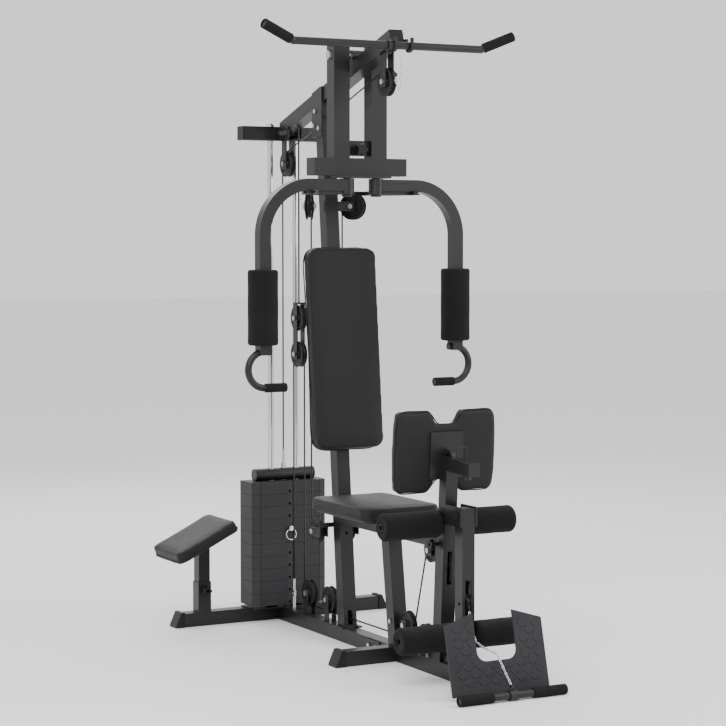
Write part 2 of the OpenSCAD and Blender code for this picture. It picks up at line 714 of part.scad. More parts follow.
// directions of the straight runs in the middle plane
lat_a = atan2(p_front[2] - p_rear[2], p_rear[1] - p_front[1]);
ab = [p_dev[1] - p_post_a[1], p_dev[2] - p_post_a[2]];
low_a = atan2(ab[1], ab[0]) - asin((groove + gd) / norm(ab));
bc = [-828 - p_dev[1], 255 - p_dev[2]];
low_n = atan2(bc[1], bc[0]) + 360 - acos((gd - gl) / norm(bc));
function on(c, rad, ang) = [c[0], c[1] + rad * cos(ang), c[2] + rad * sin(ang)];
module cable_lat() color(vinyl) {
  arc_yz(p_rear, groove, 0, 90 - lat_a, cr);
  run3(on(p_rear, groove, 90 - lat_a), on(p_front, groove, 90 - lat_a));
  arc_yz(p_front, groove, 90 - lat_a, 118, cr);
  run3(on(p_front, groove, 118), on(p_front, groove, 118) + [0, -sin(118), cos(118)] * 30);
  translate(on(p_front, groove, 118) + [0, -sin(118), cos(118)] * 38.6) sphere(r = 8.5);
  // hanger of the block from the beam
  run3([0, 334, 1805], [0, 334, 1174]);
}
module cable_low() color(vinyl) {
  run3([0, 334 + groove, 160], [0, 334 + groove, 987]);
  arc_yz([0, 334, 987], groove, 0, 180, cr);
  run3([0, 334 - groove, 127], [0, 334 - groove, 987]);
  arc_yz(p_low_a, groove, -90, 0, cr);
  run3([0, p_low_a[1], 127 - groove], [0, p_post_a[1], 127 - groove]);
  arc_yz(p_post_a, groove, low_a + 90, 270, cr);
  run3(on(p_post_a, groove, low_a + 90), on(p_dev, gd, low_a - 90));
  arc_yz(p_dev, gd, low_a - 90, low_n, cr);
  run3(on(p_dev, gd, low_n), on([0, -828, 255], gl, low_n));
  arc_yz([0, -828, 255], gl, low_n, 180, cr);
  run3([0, -828 - gl, 255], [0, -828 - gl, 230]);
}
module cable_pec() color(vinyl) for (s = [-1, 1]) mirror([s < 0 ? 1 : 0, 0, 0]) {
  translate([sleeve_x, sleeve_y, 1560]) rotate([0, 0, 8]) rotate_extrude(angle = splay - 8) translate([cam_r, 0])
    circle(r = cr);
  at(p_right) {
    run3([0, -pec_run, groove], [0, 0, groove]);
    arc_yz([0, 0, 0], groove, 0, 90, cr);
  }
  translate([pec_x, pec_y, p_seat[2] + hair]) cylinder(r = cr, h = p_right[2] - p_seat[2] - 2 * hair);
  arc_yz([pec_x, pec_y - gs, p_seat[2]], gs, -180, 0, cr);
  run3([pec_x, pec_y - 2 * gs, p_seat[2]], [pec_x, pec_y - 2 * gs, 452]);
}
module cable_stack() color(vinyl) translate([0, stack_y, stack_top + 114.1]) cylinder(r = cr, h = 1676 - stack_top - 114.1);
module link() rotate([90, 0, 0]) linear_extrude(height = 2.4, center = true) difference() {
  union() {
    for (s = [-1, 1]) translate([0, s * 4]) circle(r = 5, $fn = 24);
    square([10, 8], center = true);
  }
  for (s = [-1, 1]) translate([0, s * 4]) circle(r = 2.4, $fn = 24);
  square([4.8, 8], center = true);
}
module chain_run(a, b) {
  v = b - a;
  n = floor(norm(v) / 12.2);
  for (i = [0 : n]) translate(a + v * (i * 12.2 / norm(v))) rotate([0, acos(v[2] / norm(v)), atan2(v[1], v[0])])
    rotate([0, 0, 90 * (i % 2)]) link();
}
module chain_lat() color(steel) {
  chain_run([0, -418, 2000], [0, -402, 1900]);
  chain_run([0, -394, 1894], [0, -380, 1922]);
}
module chain_low() color(steel) {
  chain_run([0, -857, 218], [0, -886, 150]);
  chain_run([0, -896, 143], [0, -1012, 128]);
  chain_run([0, -1026, 122], [0, -1092, 52]);
}
module low_anchor() {
  translate([0, 334 + groove, 118]) cylinder(r = 5, h = 42);
  translate([-4, 334 + groove - 8, 96]) difference() {
    cube([8, 16, 22]);
    translate([-1, 8, 10]) rotate([0, 90, 0]) cylinder(r = 5, h = 10);
  }
  translate([0, 334 + groove, 50]) cylinder(r = 6, h = 46);
}
module frame_bolts() color(steel) {
  low_anchor();
  for (y = [-300, -252]) xcyl([0, y, 25], 5, 74);
  for (y = [-300, -252], s = [-1, 1]) translate([s * 32.1 - 3, y, 25]) rotate([0, 90, 0]) cylinder(r = 9, h = 6, $fn = 6);
  for (p = [[112, 1790], [140, 1850], [150, 1800]], s = [-1, 1]) translate([s * 34.1 - 3, p[0], p[1]])
    rotate([0, 90, 0]) cylinder(r = 9, h = 6, $fn = 6);
  for (s = [-1, 1], y = [385, 420]) translate([s * 34.1 - 3, y, 1786]) rotate([0, 90, 0]) cylinder(r = 8, h = 6, $fn = 6);
  for (s = [-1, 1]) translate([s * 27.6 - 2.5, -392, 130]) rotate([0, 90, 0]) cylinder(r = 8, h = 5, $fn = 6);
  for (s = [-1, 1]) translate([s * 18, 487, 54.05]) cylinder(r = 7, h = 5, $fn = 6);
}

base_frame();
end_caps();
rear_upright();
top_beam();
seat_frame();
front_post();
foot_plate();
guide_rods();
stack_base();
plates_lower();
plates_upper();
stack_head();
selector_rod();
selector_pin();
back_pad();
seat_pad();
pad_boards();
pulley_brackets();
pulley_bolts();
frame_bolts();
press_frame();
press_axle();
lock_knob();
pec_arm_left();
pec_foam_left();
pec_arm_right();
pec_foam_right();
leg_arm();
leg_foams();
knee_tube();
knee_foams();
curl_post();
curl_pad();
curl_knob();
arm_post();
arm_pad();
arm_knob();
lat_bar();
lat_grips();
low_bar();
low_grips();
pulley_rear();
pulley_front();
pulley_left();
pulley_right();
pulley_block_top();
pulley_block_low();
pulley_low_rear();
pulley_low_front();
pulley_seat();
pulley_post_rear();
pulley_post_front();
pulley_dev();
pulley_leg();
cable_lat();
cable_low();
cable_pec();
cable_stack();
chain_lat();
chain_low();
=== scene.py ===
"""Looks of a multi station home gym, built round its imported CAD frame."""

import json
import logging
import math
from dataclasses import dataclass, field
from enum import Enum

import bmesh
import bpy
import numpy as np
from mathutils import Matrix, Vector


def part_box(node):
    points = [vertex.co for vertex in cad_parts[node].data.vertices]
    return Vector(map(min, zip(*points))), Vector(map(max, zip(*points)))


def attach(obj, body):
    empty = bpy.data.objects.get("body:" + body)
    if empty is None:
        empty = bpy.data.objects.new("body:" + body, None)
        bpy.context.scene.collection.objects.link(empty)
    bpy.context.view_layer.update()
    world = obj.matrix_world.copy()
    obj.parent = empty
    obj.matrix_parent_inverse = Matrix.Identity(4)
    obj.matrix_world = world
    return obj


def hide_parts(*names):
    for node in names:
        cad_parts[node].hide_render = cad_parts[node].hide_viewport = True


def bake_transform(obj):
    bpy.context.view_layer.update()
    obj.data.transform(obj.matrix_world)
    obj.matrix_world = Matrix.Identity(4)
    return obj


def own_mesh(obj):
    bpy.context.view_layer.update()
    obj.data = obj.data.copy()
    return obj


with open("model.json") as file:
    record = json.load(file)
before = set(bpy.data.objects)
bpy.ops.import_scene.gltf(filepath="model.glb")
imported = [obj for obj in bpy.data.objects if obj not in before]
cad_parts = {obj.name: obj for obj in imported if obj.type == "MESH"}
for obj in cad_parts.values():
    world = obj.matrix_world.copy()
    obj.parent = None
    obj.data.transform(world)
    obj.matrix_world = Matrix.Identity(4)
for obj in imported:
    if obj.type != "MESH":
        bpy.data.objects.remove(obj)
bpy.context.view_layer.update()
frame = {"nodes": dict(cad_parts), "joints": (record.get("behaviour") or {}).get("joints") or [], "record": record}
log = logging.getLogger("home_gym")


class Relief(Enum):
    """The fine relief that a finish carries."""

    POWDER = "powder"
    GRAIN = "grain"
    CELL = "cell"
    CAST = "cast"
    BRUSHED = "brushed"
    SMOOTH = "smooth"


class GroupKit:
    """Shader node groups that the finishes share, each built once."""

    def __init__(self) -> None:
        """Makes the shared groups."""
        self.mottle = self._mottle()
        self.powder = self._powder()
        self.grain = self._grain()
        self.dust = self._dust()

    @staticmethod
    def _new(name: str, inputs: dict[str, float], output: str) -> tuple:
        """Starts a group with a Vector input and the named float inputs.

        Args:
            name: name of the group.
            inputs: default value of each float input.
            output: name of the one float output.

        Returns:
            The tree, its input node and its output node.
        """
        tree = bpy.data.node_groups.new(name, "ShaderNodeTree")
        tree.interface.new_socket("Vector", in_out="INPUT", socket_type="NodeSocketVector")
        for key, value in inputs.items():
            made = tree.interface.new_socket(key, in_out="INPUT", socket_type="NodeSocketFloat")
            made.default_value = value
        tree.interface.new_socket(output, in_out="OUTPUT", socket_type="NodeSocketFloat")
        return tree, tree.nodes.new("NodeGroupInput"), tree.nodes.new("NodeGroupOutput")

    def _mottle(self) -> bpy.types.NodeTree:
        """Soft cloudy change of tone, for handled and stored surfaces."""
        tree, src, out = self._new("tone_mottle", {"Scale": 6.0, "Contrast": 1.0}, "Mask")
        noise = tree.nodes.new("ShaderNodeTexNoise")
        noise.inputs["Detail"].default_value = 5.0
        noise.inputs["Roughness"].default_value = 0.6
        spread = tree.nodes.new("ShaderNodeMath")
        spread.operation = "SUBTRACT"
        spread.inputs[1].default_value = 0.5
        gain = tree.nodes.new("ShaderNodeMath")
        gain.operation = "MULTIPLY"
        back = tree.nodes.new("ShaderNodeMath")
        back.operation = "ADD"
        back.inputs[1].default_value = 0.5
        back.use_clamp = True
        link = tree.links.new
        link(src.outputs["Vector"], noise.inputs["Vector"])
        link(src.outputs["Scale"], noise.inputs["Scale"])
        link(noise.outputs["Fac"], spread.inputs[0])
        link(spread.outputs[0], gain.inputs[0])
        link(src.outputs["Contrast"], gain.inputs[1])
        link(gain.outputs[0], back.inputs[0])
        link(back.outputs[0], out.inputs["Mask"])
        return tree

    def _powder(self) -> bpy.types.NodeTree:
        """Orange peel of a powder coat, also used for cast and moulded skins."""
        tree, src, out = self._new("coat_peel", {"Scale": 400.0}, "Height")
        fine = tree.nodes.new("ShaderNodeTexNoise")
        fine.inputs["Detail"].default_value = 3.0
        broad = tree.nodes.new("ShaderNodeTexNoise")
        broad.inputs["Detail"].default_value = 1.0
        part = tree.nodes.new("ShaderNodeMath")
        part.operation = "MULTIPLY"
        part.inputs[1].default_value = 0.3
        total = tree.nodes.new("ShaderNodeMath")
        total.operation = "MULTIPLY_ADD"
        total.inputs[1].default_value = 0.55
        link = tree.links.new
        link(src.outputs["Vector"], fine.inputs["Vector"])
        link(src.outputs["Vector"], broad.inputs["Vector"])
        link(src.outputs["Scale"], fine.inputs["Scale"])
        link(src.outputs["Scale"], part.inputs[0])
        link(part.outputs[0], broad.inputs["Scale"])
        link(broad.outputs["Fac"], total.inputs[0])
        link(fine.outputs["Fac"], total.inputs[2])
        link(total.outputs[0], out.inputs["Height"])
        return tree

    def _grain(self) -> bpy.types.NodeTree:
        """Pebbled leather grain, and the open cells of foam at a finer scale."""
        tree, src, out = self._new("pebble_grain", {"Scale": 420.0}, "Height")
        cells = tree.nodes.new("ShaderNodeTexVoronoi")
        cells.feature = "DISTANCE_TO_EDGE"
        width = tree.nodes.new("ShaderNodeMapRange")
        width.inputs["From Max"].default_value = 0.22
        link = tree.links.new
        link(src.outputs["Vector"], cells.inputs["Vector"])
        link(src.outputs["Scale"], cells.inputs["Scale"])
        link(cells.outputs["Distance"], width.inputs["Value"])
        link(width.outputs["Result"], out.inputs["Height"])
        return tree

    def _dust(self) -> bpy.types.NodeTree:
        """Thin dust on faces that look up."""
        tree, src, out = self._new("dust_film", {"Scale": 25.0, "Amount": 0.2}, "Mask")
        geo = tree.nodes.new("ShaderNodeNewGeometry")
        split = tree.nodes.new("ShaderNodeSeparateXYZ")
        up = tree.nodes.new("ShaderNodeMapRange")
        up.inputs["From Min"].default_value = 0.45
        up.inputs["From Max"].default_value = 1.0
        noise = tree.nodes.new("ShaderNodeTexNoise")
        noise.inputs["Detail"].default_value = 4.0
        both = tree.nodes.new("ShaderNodeMath")
        both.operation = "MULTIPLY"
        scaled = tree.nodes.new("ShaderNodeMath")
        scaled.operation = "MULTIPLY"
        scaled.use_clamp = True
        link = tree.links.new
        link(geo.outputs["Normal"], split.inputs[0])
        link(split.outputs["Z"], up.inputs["Value"])
        link(src.outputs["Vector"], noise.inputs["Vector"])
        link(src.outputs["Scale"], noise.inputs["Scale"])
        link(up.outputs["Result"], both.inputs[0])
        link(noise.outputs["Fac"], both.inputs[1])
        link(both.outputs[0], scaled.inputs[0])
        link(src.outputs["Amount"], scaled.inputs[1])
        link(scaled.outputs[0], out.inputs["Mask"])
        return tree


@dataclass(frozen=True)
class Finish:
    """One finish of the gym, as a procedural material."""

    name: str
    tone: tuple[float, float, float]
    worn: tuple[float, float, float]
    rough: tuple[float, float]
    relief: Relief = Relief.POWDER
    metallic: float = 0.0
    coat: float = 0.0
    sheen: float = 0.0
    specular: float = 0.22
    relief_scale: float = 400.0
    relief_depth: float = 0.00015
    mottle_scale: float = 5.0
    dust: float = 0.04

    def make(self, kit: GroupKit) -> bpy.types.Material:
        """Builds the material.

        Args:
            kit: the shared node groups.

        Returns:
            The finished material.
        """
        mat = bpy.data.materials.new(self.name)
        mat.use_nodes = True
        mat.diffuse_color = (*self.tone, 1.0)
        tree = mat.node_tree
        link = tree.links.new
        shader = tree.nodes["Principled BSDF"]
        shader.inputs["Metallic"].default_value = self.metallic
        shader.inputs["Specular IOR Level"].default_value = self.specular
        shader.inputs["Coat Weight"].default_value = self.coat
        shader.inputs["Coat Roughness"].default_value = 0.18
        shader.inputs["Sheen Weight"].default_value = self.sheen
        shader.inputs["Sheen Roughness"].default_value = 0.5
        coords = tree.nodes.new("ShaderNodeTexCoord")
        place = tree.nodes.new("ShaderNodeMapping")
        if self.relief is Relief.BRUSHED:
            place.inputs["Scale"].default_value = (1.0, 1.0, 0.06)
        link(coords.outputs["Object"], place.inputs["Vector"])
        mottle = self._group(tree, kit.mottle, coords.outputs["Object"], Scale=self.mottle_scale, Contrast=1.6)
        tones = tree.nodes.new("ShaderNodeMix")
        tones.data_type = "RGBA"
        tones.inputs["A"].default_value = (*self.tone, 1.0)
        tones.inputs["B"].default_value = (*self.worn, 1.0)
        link(mottle.outputs["Mask"], tones.inputs["Factor"])
        dusty = tree.nodes.new("ShaderNodeMix")
        dusty.data_type = "RGBA"
        dusty.inputs["B"].default_value = (0.33, 0.32, 0.31, 1.0)
        dust = self._group(tree, kit.dust, coords.outputs["Object"], Scale=22.0, Amount=self.dust)
        link(dust.outputs["Mask"], dusty.inputs["Factor"])
        link(tones.outputs["Result"], dusty.inputs["A"])
        link(dusty.outputs["Result"], shader.inputs["Base Color"])
        rough = tree.nodes.new("ShaderNodeMapRange")
        rough.inputs["To Min"].default_value = self.rough[0]
        rough.inputs["To Max"].default_value = self.rough[1]
        link(mottle.outputs["Mask"], rough.inputs["Value"])
        link(rough.outputs["Result"], shader.inputs["Roughness"])
        if self.relief is not Relief.SMOOTH:
            pebbled = self.relief in (Relief.GRAIN, Relief.CELL)
            source = kit.grain if pebbled else kit.powder
            height = self._group(tree, source, place.outputs["Vector"], Scale=self.relief_scale)
            bump = tree.nodes.new("ShaderNodeBump")
            bump.inputs["Strength"].default_value = 0.7
            bump.inputs["Distance"].default_value = self.relief_depth
            link(height.outputs["Height"], bump.inputs["Height"])
            link(bump.outputs["Normal"], shader.inputs["Normal"])
        return mat

    @staticmethod
    def _group(tree: bpy.types.NodeTree, group: bpy.types.NodeTree, vector: bpy.types.NodeSocket,
               **values: float) -> bpy.types.Node:
        """Places a shared group with its values and its vector."""
        node = tree.nodes.new("ShaderNodeGroup")
        node.node_tree = group
        tree.links.new(vector, node.inputs["Vector"])
        for key, value in values.items():
            node.inputs[key].default_value = value
        return node


FINISHES = {
    "powder_coat": Finish("satin_black_powder_coat", (0.007, 0.007, 0.008), (0.013, 0.013, 0.014), (0.3, 0.42),
                          specular=0.35, relief_scale=420.0, relief_depth=0.00012),
    "plate_paint": Finish("charcoal_stack_paint", (0.02, 0.02, 0.022), (0.033, 0.033, 0.035), (0.42, 0.58),
                          Relief.CAST, relief_scale=260.0, relief_depth=0.0003, dust=0.04),
    "tread_plate": Finish("black_tread_plate", (0.02, 0.02, 0.022), (0.04, 0.04, 0.043), (0.32, 0.48),
                          metallic=0.35, relief_scale=380.0, relief_depth=0.00015),
    "vinyl_black": Finish("grained_black_vinyl", (0.006, 0.006, 0.007), (0.01, 0.01, 0.011), (0.42, 0.56),
                          Relief.GRAIN, sheen=0.02, relief_scale=380.0, relief_depth=0.00035, dust=0.04),
    "foam_black": Finish("closed_cell_foam", (0.006, 0.006, 0.0065), (0.012, 0.012, 0.0125), (0.8, 0.95),
                         Relief.CELL, specular=0.1, sheen=0.03, relief_scale=520.0, relief_depth=0.0006, dust=0.04),
    "rubber_black": Finish("ribbed_grip_rubber", (0.007, 0.007, 0.0075), (0.013, 0.013, 0.0135), (0.6, 0.75),
                           Relief.CAST, specular=0.12, relief_scale=500.0, relief_depth=0.0002),
    "plastic_black": Finish("moulded_black_plastic", (0.007, 0.007, 0.0075), (0.012, 0.012, 0.0125), (0.36, 0.5),
                            Relief.CAST, relief_scale=600.0, relief_depth=0.00008),
    "cable_coat": Finish("nylon_cable_coat", (0.006, 0.006, 0.0065), (0.01, 0.01, 0.0105), (0.3, 0.38),
                         Relief.BRUSHED, coat=0.3, relief_scale=700.0, relief_depth=0.0002, dust=0.0),
    "chrome_steel": Finish("polished_chrome", (0.72, 0.73, 0.75), (0.62, 0.63, 0.65), (0.07, 0.16),
                           Relief.SMOOTH, metallic=1.0, dust=0.02),
    "zinc_steel": Finish("zinc_plated_steel", (0.56, 0.57, 0.59), (0.45, 0.46, 0.48), (0.24, 0.38),
                         Relief.BRUSHED, metallic=1.0, relief_scale=300.0, relief_depth=0.00008, dust=0.03),
}


class Workshop:
    """Holds the finishes and does the mesh work that the sub-assemblies share."""

    def __init__(self) -> None:
        """Builds every finish and the tree that repeats small shapes."""
        kit = GroupKit()
        self.materials = {key: finish.make(kit) for key, finish in FINISHES.items()}
        self.repeat = self._repeat_tree()
        self.slots = {s["node"]: s["material_slot"] for s in frame["record"]["subparts"]}

    def dress_nodes(self) -> None:
        """Gives every CAD node the finish of its slot."""
        for name, obj in frame["nodes"].items():
            for held in obj.material_slots:
                held.material = self.materials[self.slots[name]]
        log.info("dressed %d nodes of the frame", len(frame["nodes"]))

    def place(self, obj: bpy.types.Object, body: str | None, slot: str, *nodes: str) -> bpy.types.Object:
        """Dresses a finished piece, hides the nodes it stands for and lets it ride.

        Args:
            obj: the finished piece, at the origin.
            body: the CAD body that it moves with, or None for a piece set on no body.
            slot: the record's material slot.
            nodes: the CAD nodes that it stands for.

        Returns:
            The same piece.
        """
        if not obj.data.materials:
            obj.data.materials.append(self.materials[slot])
        if body:
            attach(obj, body)
        if nodes:
            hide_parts(*nodes)
        log.info("placed %s on %s", obj.name, body or "two bodies")
        return obj

    @staticmethod
    def add(name: str, mesh: bpy.types.Mesh, smooth: bool = True) -> bpy.types.Object:
        """Links a mesh as an object at the origin."""
        obj = bpy.data.objects.new(name, mesh)
        bpy.context.scene.collection.objects.link(obj)
        mesh.polygons.foreach_set("use_smooth", [smooth] * len(mesh.polygons))
        return obj

    @staticmethod
    def lathe(name: str, outline: list[tuple[float, float]], place: Matrix, sides: int = 64) -> bpy.types.Mesh:
        """Turns a closed outline about Z and puts the result in place.

        Args:
            name: name of the mesh.
            outline: (radius, height) points, anticlockwise.
            place: where the turned shape goes.
            sides: steps round the axis.

        Returns:
            The mesh, with its faces pointing outwards.
        """
        work = bmesh.new()
        rings = []
        for i in range(sides):
            a = 2 * math.pi * i / sides
            rings.append([work.verts.new((r * math.cos(a), r * math.sin(a), z)) for r, z in outline])
        count = len(outline)
        for i in range(sides):
            here, there = rings[i], rings[(i + 1) % sides]
            for j in range(count):
                k = (j + 1) % count
                work.faces.new((here[j], there[j], there[k], here[k]))
        bmesh.ops.transform(work, matrix=place, verts=work.verts)
        bmesh.ops.recalc_face_normals(work, faces=work.faces)
        mesh = bpy.data.meshes.new(name)
        work.to_mesh(mesh)
        work.free()
        return mesh

    @staticmethod
    def _repeat_tree() -> bpy.types.NodeTree:
        """The tree that sets one shape on each point, turned by the point's own attribute."""
        tree = bpy.data.node_groups.new("repeat_shape", "GeometryNodeTree")
        tree.is_modifier = True
        add = tree.interface.new_socket
        add("Points", in_out="INPUT", socket_type="NodeSocketGeometry")
        add("Shape", in_out="INPUT", socket_type="NodeSocketObject")
        size = add("Size", in_out="INPUT", socket_type="NodeSocketFloat")
        size.default_value = 1.0
        add("Finish", in_out="INPUT", socket_type="NodeSocketMaterial")
        add("Result", in_out="OUTPUT", socket_type="NodeSocketGeometry")
        node = tree.nodes.new
        src, out = node("NodeGroupInput"), node("NodeGroupOutput")
        shape = node("GeometryNodeObjectInfo")
        turn = node("GeometryNodeInputNamedAttribute")
        turn.data_type = "FLOAT_VECTOR"
        turn.inputs["Name"].default_value = "turn"
        euler = node("FunctionNodeEulerToRotation")
        each = node("GeometryNodeInstanceOnPoints")
        real = node("GeometryNodeRealizeInstances")
        paint = node("GeometryNodeSetMaterial")
        link = tree.links.new
        link(src.outputs["Points"], each.inputs["Points"])
        link(src.outputs["Shape"], shape.inputs["Object"])
        link(shape.outputs["Geometry"], each.inputs["Instance"])
        link(turn.outputs["Attribute"], euler.inputs[0])
        link(euler.outputs[0], each.inputs["Rotation"])
        link(src.outputs["Size"], each.inputs["Scale"])
        link(each.outputs["Instances"], real.inputs["Geometry"])
        link(real.outputs["Geometry"], paint.inputs["Geometry"])
        link(src.outputs["Finish"], paint.inputs["Material"])
        link(paint.outputs["Geometry"], out.inputs["Result"])
        return tree

    def scatter(self, name: str, shape: bpy.types.Mesh, points: list[Vector], turns: list[Vector],
                slot: str, size: float = 1.0) -> bpy.types.Object:
        """Repeats a shape over points with the shared tree and bakes the result.

        Args:
            name: name of the piece.
            shape: the mesh to repeat.
            points: where each one goes.
            turns: the Euler turn of each one, in radians.
            slot: the material slot of its finish.
            size: scale of each shape.

        Returns:
            The baked piece, at the origin.
        """
        base = bpy.data.meshes.new(name + "_points")
        base.from_pydata([tuple(p) for p in points], [], [])
        turned = base.attributes.new("turn", "FLOAT_VECTOR", "POINT")
        turned.data.foreach_set("vector", [c for t in turns for c in t])
        holder = self.add(name + "_holder", base)
        seed = self.add(name + "_shape", shape)
        mod = holder.modifiers.new("repeat", "NODES")
        mod.node_group = self.repeat
        named = {s.name: s.identifier for s in self.repeat.interface.items_tree if s.in_out == "INPUT"}
        mod[named["Shape"]] = seed
        mod[named["Size"]] = size
        mod[named["Finish"]] = self.materials[slot]
        bpy.context.view_layer.update()
        depsgraph = bpy.context.evaluated_depsgraph_get()
        mesh = bpy.data.meshes.new_from_object(holder.evaluated_get(depsgraph), depsgraph=depsgraph)
        mesh.name = name
        for gone in (holder, seed):
            bpy.data.objects.remove(gone)
        return self.add(name, mesh)


@dataclass
class Pad:
    """A vinyl pad over foam: a cloth shell blown up a little on its board."""

    node: str
    body: str
    back: tuple[float, float, float]
    swell: float = 0.0035
    voxel: float = 0.006
    frames: int = 20
    welt: float = 0.0022
    pressure: float = 4.0
    stretch: float = 18.0
    shear: float = 6.0
    bend: float = 0.6
    board_facing: float = 0.75
    relax_rounds: int = 6
    even_rounds: int = 12
    welt_inset: float = 0.009
    welt_band: float = 0.0045
    welt_steps: int = 220

    def build(self, shop: Workshop) -> bpy.types.Object:
        """Args:
            shop: the shared workshop.

        Returns:
            The pad.
        """
        mesh = frame["nodes"][self.node].data.copy()
        mesh.materials.clear()
        work = bmesh.new()
        work.from_mesh(mesh)
        bmesh.ops.remove_doubles(work, verts=work.verts, dist=1e-5)
        work.to_mesh(mesh)
        work.free()
        pad = shop.add(f"{self.node}_cover", mesh)
        self._remesh(pad)
        self._relax(pad)
        self._blow(pad)
        self._subdivide(pad)
        shop.place(pad, self.body, "vinyl_black", self.node)
        self._pipe(shop, pad)
        return pad

    def _pipe(self, shop: Workshop, pad: bpy.types.Object) -> None:
        """Lays a welt of piping round the board side, where the cover is folded under."""
        back = Vector(self.back).normalized()
        side = back.orthogonal().normalized()
        over = back.cross(side)
        mesh = pad.data
        co = np.empty(len(mesh.vertices) * 3)
        mesh.vertices.foreach_get("co", co)
        co = co.reshape(-1, 3)
        depth = co @ np.array(back)
        level = depth.max() - self.welt_inset
        band = co[np.abs(depth - level) < self.welt_band]
        mid = Vector(band.mean(axis=0))
        flat = np.stack([(band - np.array(mid)) @ np.array(side), (band - np.array(mid)) @ np.array(over)], axis=1)
        order = np.argsort(np.arctan2(flat[:, 1], flat[:, 0]))
        ring = flat[order]
        far = np.linalg.norm(ring, axis=1)
        angle = np.arctan2(ring[:, 1], ring[:, 0])
        steps = self.welt_steps
        path = []
        for i in range(steps):
            a = -math.pi + 2 * math.pi * (i + 0.5) / steps
            near = np.abs(angle - a) < math.pi / steps * 1.6
            reach = far[near].max() if near.any() else np.interp(a, angle, far)
            path.append(mid + side * (reach * math.cos(a)) + over * (reach * math.sin(a)) + back * (
                level - mid.dot(back)))
        shop.place(shop.add(f"{self.node}_welt", self._tube(path)), self.body, "vinyl_black")

    def _tube(self, path: list[Vector]) -> bpy.types.Mesh:
        """A closed tube of eight sides along a closed path."""
        back = Vector(self.back).normalized()
        for _ in range(3):
            path = [(path[i - 1] + path[i] * 2 + path[(i + 1) % len(path)]) / 4 for i in range(len(path))]
        work = bmesh.new()
        rings = []
        for i, p in enumerate(path):
            along = (path[(i + 1) % len(path)] - path[i - 1]).normalized()
            out = along.cross(back).normalized()
            rings.append([work.verts.new(p + self.welt * (out * math.cos(j * math.pi / 4)
                                                          + back * math.sin(j * math.pi / 4))) for j in range(8)])
        for i, here in enumerate(rings):
            there = rings[(i + 1) % len(rings)]
            for j in range(8):
                k = (j + 1) % 8
                work.faces.new((here[j], here[k], there[k], there[j]))
        bmesh.ops.recalc_face_normals(work, faces=work.faces)
        mesh = bpy.data.meshes.new(f"{self.node}_welt")
        work.to_mesh(mesh)
        work.free()
        return mesh

    @staticmethod
    def _bake(obj: bpy.types.Object) -> None:
        """Turns the modifiers' result into the object's own mesh."""
        bpy.context.view_layer.update()
        depsgraph = bpy.context.evaluated_depsgraph_get()
        mesh = bpy.data.meshes.new_from_object(obj.evaluated_get(depsgraph), depsgraph=depsgraph)
        obj.modifiers.clear()
        obj.data = mesh
        mesh.polygons.foreach_set("use_smooth", [True] * len(mesh.polygons))

    def _remesh(self, pad: bpy.types.Object) -> None:
        """Covers the solid with an even skin."""
        mod = pad.modifiers.new("skin", "REMESH")
        mod.mode = "VOXEL"
        mod.voxel_size = self.voxel
        mod.use_smooth_shade = True
        self._bake(pad)

    def _relax(self, pad: bpy.types.Object) -> None:
        """Rounds the edges of the skin, as foam does under a stretched cover."""
        work = bmesh.new()
        work.from_mesh(pad.data)
        for _ in range(self.relax_rounds):
            bmesh.ops.smooth_vert(work, verts=work.verts, factor=0.5, use_axis_x=True, use_axis_y=True,
                                  use_axis_z=True)
        work.to_mesh(pad.data)
        work.free()

    def _blow(self, pad: bpy.types.Object) -> None:
        """Blows the cover up with cloth, held on the side of its board."""
        mesh = pad.data
        count = len(mesh.vertices)
        rest = np.empty(count * 3)
        mesh.vertices.foreach_get("co", rest)
        rest = rest.reshape(-1, 3)
        ends = np.empty(len(mesh.edges) * 2, dtype=np.int64)
        mesh.edges.foreach_get("vertices", ends)
        mesh_edges = ends.reshape(-1, 2)
        back = Vector(self.back).normalized()
        held = [v.index for v in mesh.vertices if v.normal.dot(back) > self.board_facing]
        group = pad.vertex_groups.new(name="board_side")
        group.add(held, 1.0, "REPLACE")
        mod = pad.modifiers.new("cover", "CLOTH")
        mod.settings.vertex_group_mass = group.name
        mod.settings.use_pressure = True
        mod.settings.uniform_pressure_force = self.pressure
        mod.settings.tension_stiffness = self.stretch
        mod.settings.compression_stiffness = self.stretch
        mod.settings.shear_stiffness = self.shear
        mod.settings.bending_stiffness = self.bend
        mod.settings.effector_weights.gravity = 0.0
        mod.collision_settings.use_collision = False
        mod.point_cache.frame_end = self.frames + 1
        scene = bpy.context.scene
        for step in range(1, self.frames + 1):
            scene.frame_set(step)
        self._bake(pad)
        moved = np.empty(count * 3)
        pad.data.vertices.foreach_get("co", moved)
        shift = moved.reshape(-1, 3) - rest
        far = np.linalg.norm(shift, axis=1, keepdims=True)
        shift *= np.minimum(1.0, self.swell / np.maximum(far, 1e-9))
        shift = self._even(mesh_edges, shift, self.even_rounds)
        pad.data.vertices.foreach_set("co", (rest + shift).ravel())
        pad.vertex_groups.clear()
        scene.frame_set(1)

    @staticmethod
    def _even(edges: np.ndarray, shift: np.ndarray, rounds: int) -> np.ndarray:
        """Evens the swelling out between neighbours, as firm foam does."""
        count = np.bincount(edges.ravel(), minlength=len(shift))[:, None]
        for _ in range(rounds):
            near = np.zeros_like(shift)
            np.add.at(near, edges[:, 0], shift[edges[:, 1]])
            np.add.at(near, edges[:, 1], shift[edges[:, 0]])
            shift = 0.5 * shift + 0.5 * near / np.maximum(count, 1)
        return shift

    def _subdivide(self, pad: bpy.types.Object) -> None:
        """Adds one level of subdivision and keeps it."""
        mod = pad.modifiers.new("soften", "SUBSURF")
        mod.levels = mod.render_levels = 1
        self._bake(pad)


